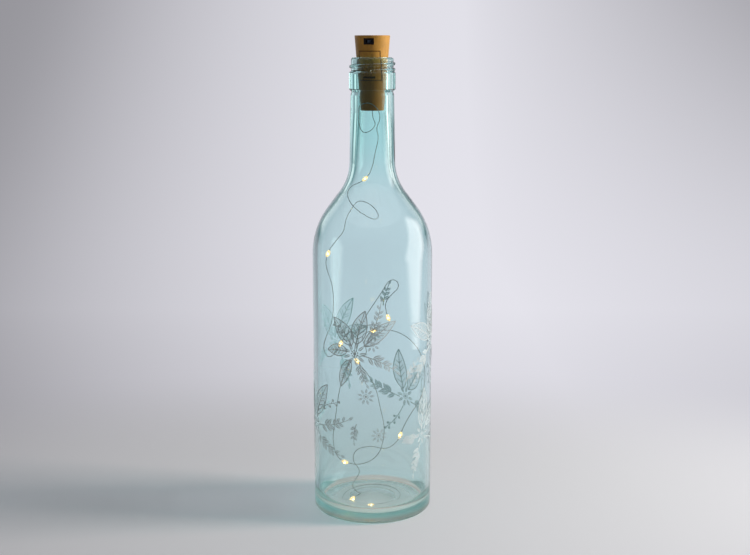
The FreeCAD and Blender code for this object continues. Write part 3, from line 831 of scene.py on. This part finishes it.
finishes = {
    "glass": glass_finish(),
    "string_wire": metal_finish("silvered_wire", (0.42, 0.43, 0.41, 1), 0.34),
    "light_bead": bead_finish(),
    "light_chip": chip_finish(),
    "cork": cork_finish("cork_plastic", srgb(201, 147, 66)),
    # The plug's tone is darker than the cork's, as painted shade for the neck it sits in
    "plug": cork_finish("plug_plastic", srgb(152, 84, 28)),
    "cell_steel": metal_finish("cell_steel", (0.72, 0.72, 0.72, 1), 0.3),
    "cell_seal": plastic_finish("cell_seal", (0.05, 0.05, 0.055, 1), 0.6),
    "contact_metal": metal_finish("contact_metal", (0.7, 0.69, 0.66, 1), 0.35),
    "switch_black": plastic_finish("switch_black", srgb(24, 20, 22), 0.45),
    "lever": plastic_finish("lever_plastic", srgb(70, 84, 104), 0.4),
    "pin_metal": metal_finish("pin_metal", (0.78, 0.65, 0.38, 1), 0.3),
    "board": board_finish(),
    "resistor": plastic_finish("resistor_body", (0.03, 0.03, 0.03, 1), 0.5),
    "lead_red": plastic_finish("lead_red", (0.45, 0.02, 0.02, 1), 0.45),
    "lead_black": plastic_finish("lead_black", (0.02, 0.02, 0.02, 1), 0.45),
}


def dress(item, finish):
    item.data.materials.clear()
    item.data.materials.append(finish)


for part in frame["record"]["subparts"]:
    dress(nodes[part["node"]], finishes[part["material_slot"]])
dress(string_wire, finishes["string_wire"])
inks = {"print_lines": ink_finish("white_ink", 0.58), "print_wash": ink_finish("pale_wash", 0.13)}
for kind, pieces in print_pieces.items():
    for piece in pieces:
        dress(piece, inks[kind])

# The studio: a pale floor that curves up into a backdrop all round, a lamp and a soft panel on the
# right, two dim papers behind, a weak light from above and a dim room. Here sizes are in metres.
floor_drop = mm(0.3)
floor_middle = 0.5
floor_radius = 1.0
cove_radius = 0.6
wall_height = 1.6
cove_sides = 96
cove_steps = 16
backdrop_pale = srgb(229, 228, 236)
backdrop_grey = srgb(120, 119, 124)
floor_tone = (0.86, 0.86, 0.88, 1)
bounce_tone = (0.5, 0.5, 0.51, 1)
plain_floor = (0.08, 0.34)  # the floor takes light and shadow to here, and is backdrop from there on
floor_stretch = 0.55  # how much a step to the side counts, so that the floor reaches further there

# How grey the backdrop gets: to the left and right of its palest place, upwards, beside and in front
bright_middle = 0.17
spread_here = 0.44
spread_behind = 0.24
left_power = 1.84
left_grey = 0.54
left_limit = 0.66
left_upwards = 1.2
right_power = 0.88
right_grey = 0.255
right_upwards = 5.4
up_start = 0.05
up_grey = 0.11
beside_start = 0.6
beside_grey = 0.35
front_start = -0.1
front_grey = 0.4
grey_limit = 0.8
grey_limit_blur = 0.3

# What shows only in the glass: painted caustic light on the floor under the bottle, warm as from the lights
# inside it, and dark parts of the room that give the glass its edges
painted_caustic_squares = (mm(35) ** 2, mm(52) ** 2)  # full to 35 mm from the middle and gone at 52 mm
painted_caustic_cover = 0.85
painted_caustic_colour = (0.68, 0.62, 0.58, 1)
dark_front = (0.15, 0.8)
dark_front_cover = 0.8
dark_front_colour = (0.04, 0.04, 0.045, 1)
dark_side_across = (0.4, 0.7)
dark_side_behind = (0.5, 0.8)
dark_side_up = (0.08, 0.25)
dark_side_cover = 0.75
dark_side_colour = (0.01, 0.17, 0.175, 1)

# The room outside the backdrop: the light it gives, and how bright it is where it is seen
room_colour = (0.95, 0.96, 1.0, 1)
room_light = 0.14
room_brightness = 0.55


def ring_profile(points):
    """A surface turned about Z from (radius, height) points."""
    def ring(shape, radius, height):
        if radius == 0:
            return [shape.verts.new((0, 0, height))] * cove_sides
        angles = [2 * math.pi * k / cove_sides for k in range(cove_sides)]
        return [
            shape.verts.new((radius * math.cos(angle), radius * math.sin(angle), height))
            for angle in angles
        ]

    def fill(shape):
        rings = [ring(shape, radius, height) for radius, height in points]
        for low, high in zip(rings, rings[1:]):
            for k in range(cove_sides):
                after = (k + 1) % cove_sides
                corners = dict.fromkeys((low[k], low[after], high[after], high[k]))
                shape.faces.new(tuple(corners))
    return fill


def backdrop_shade(x, y, z):
    """How grey the backdrop is at a place."""
    spread = y.larger(0.0) * spread_behind + spread_here
    left = (bright_middle - x).larger(0.0) / spread
    right = (x - bright_middle).larger(0.0) / spread
    up = (z + up_start).larger(0.0)
    to_left = (left ** left_power * left_grey).smaller(left_limit) * (up * left_upwards + 1.0)
    to_right = right ** right_power * right_grey * (up * right_upwards + 1.0)
    beside = (beside_start - y).larger(0.0) * beside_grey
    in_front = (front_start - y).larger(0.0) * front_grey
    shade = to_left + to_right + up * up_grey + beside + in_front
    return shade.limited(grey_limit, grey_limit_blur)


def studio_finish():
    """The floor takes light and shadow; further off it shows the backdrop's shade, from pale to grey."""
    shader = Shader("studio_paper")
    x, y, z = shader.axes(shader.place())
    glossy = shader.ray("Is Glossy Ray")
    through = shader.ray("Is Transmission Ray")
    # painted caustic light: the floor under the bottle is brighter and warmer where it is seen through the
    # glass
    painted_caustic = through * (1 - (x * x + y * y).rise(*painted_caustic_squares)) * painted_caustic_cover
    front = glossy * (-y).rise(*dark_front) * dark_front_cover
    side = through * x.size().rise(*dark_side_across) * y.rise(*dark_side_behind)
    side = side * z.rise(*dark_side_up) * dark_side_cover
    colour = shader.mixed(backdrop_shade(x, y, z), backdrop_pale, backdrop_grey)
    colour = shader.mixed(painted_caustic, colour, painted_caustic_colour)
    colour = shader.mixed(front, colour, dark_front_colour)
    colour = shader.mixed(side, colour, dark_side_colour)
    paper = shader.principled({"Base Color": floor_tone, "Roughness": 0.9, "Specular IOR Level": 0.2})
    bounce = shader.principled({"Base Color": bounce_tone, "Roughness": 0.9, "Specular IOR Level": 0.2})
    glow = shader.emission(colour, 1.0)
    away = ((x * floor_stretch) * (x * floor_stretch) + y * y) ** 0.5
    floor = shader.blend(away.rise(*plain_floor).larger(painted_caustic), paper, glow)
    return shader.finish(shader.blend(shader.seen(), bounce, floor))


def make_studio():
    paper = studio_finish()
    flat = [(radius, -floor_drop) for radius in (0, floor_middle, floor_radius)]
    curve = [
        (floor_radius + cove_radius * math.sin(angle), cove_radius * (1 - math.cos(angle)) - floor_drop)
        for angle in (math.pi / 2 * n / cove_steps for n in range(cove_steps + 1))
    ]
    floor = add_object("floor", ring_profile(flat))
    wall = add_object("backdrop", ring_profile(curve + [(floor_radius + cove_radius, wall_height)]))
    wall.visible_diffuse = False
    wall.visible_shadow = False
    for item in (floor, wall):
        dress(item, paper)


def glowing_panel(name, place, target, half, radiance, colour, soft, roll=0.0):
    """A panel with soft edges that shows only in the glass and on shiny surfaces."""
    def fill(shape):
        corners = [(-1, -1), (1, -1), (1, 1), (-1, 1)]
        shape.faces.new([shape.verts.new((a * half[0], b * half[1], 0)) for a, b in corners])
    panel = add_object(name, fill)
    panel.location = place
    facing = (Vector(target) - Vector(place)).to_track_quat("-Z", "Y")
    panel.rotation_euler = (facing @ Quaternion((0, 0, 1), math.radians(roll))).to_euler()
    shader = Shader(name)
    a, b, _ = shader.axes(shader.place())
    cover = 1.0
    for across, reach, share in ((a, half[0], soft[0]), (b, half[1], soft[1])):
        cover = (1 - across.size().rise(reach * (1 - share), reach)) * cover
    clear = shader.transparent((1, 1, 1, 1))
    dress(panel, shader.finish(shader.blend(cover, clear, shader.emission(colour, radiance))))
    panel.visible_camera = False
    panel.visible_diffuse = False
    panel.visible_shadow = False


def area_light(name, place, target, side, radiance, colour):
    """A square soft light of a size and a brightness, turned to face a point."""
    data = bpy.data.lights.new(name, "AREA")
    data.shape = "RECTANGLE"
    data.size = side
    data.size_y = side
    data.energy = radiance * math.pi * side * side
    data.color = colour
    light = bpy.data.objects.new(name, data)
    light.location = place
    light.rotation_euler = (Vector(target) - Vector(place)).to_track_quat("-Z", "Y").to_euler()
    bpy.context.scene.collection.objects.link(light)
    return light


def make_lights():
    """A lamp on the right and a weak light above light the floor and the cork; panels show in the glass."""
    lamp = area_light("side_lamp", place=(1.3, -0.05, 0.68), target=(0, 0, 0.1), side=0.38, radiance=45.0,
                      colour=(1.0, 0.99, 0.98))
    lamp.visible_glossy = False
    lamp.visible_transmission = False
    glowing_panel("soft_panel", place=(0.46, 0.04, 0.23), target=(0, 0.04, 0.23), half=(0.19, 0.28),
                  radiance=3.0, colour=(1.0, 0.88, 0.85, 1), soft=(0.3, 0.3), roll=-34.0)
    for name, place, radiance in (("left_paper", (-0.29, 0.27, 0.36), 1.0),
                                  ("right_paper", (0.29, 0.29, 0.36), 0.8)):
        glowing_panel(name, place, target=(0, 0, 0.36), half=(0.1, 0.16), radiance=radiance,
                      colour=(0.97, 0.99, 1.0, 1), soft=(0.5, 0.3))
    area_light("top_light", place=(0.1, 0.2, 1.3), target=(0, 0, 0.1), side=0.9, radiance=0.6,
               colour=(1.0, 1.0, 1.0))


def make_room():
    """A dim room all round, brighter where it is seen than in the light that it gives."""
    world = bpy.data.worlds.new("room")
    world.use_nodes = True
    shader = Shader("room", world.node_tree)
    given = shader.add("ShaderNodeBackground", {}, {"Color": room_colour, "Strength": room_light})
    shown = shader.add("ShaderNodeBackground", {}, {"Color": room_colour, "Strength": room_brightness})
    shader.add_output({"Surface": shader.blend(shader.seen(), given, shown)}, "ShaderNodeOutputWorld")
    bpy.context.scene.world = world


make_studio()
make_lights()
make_room()
bpy.context.scene.view_settings.view_transform = "Standard"
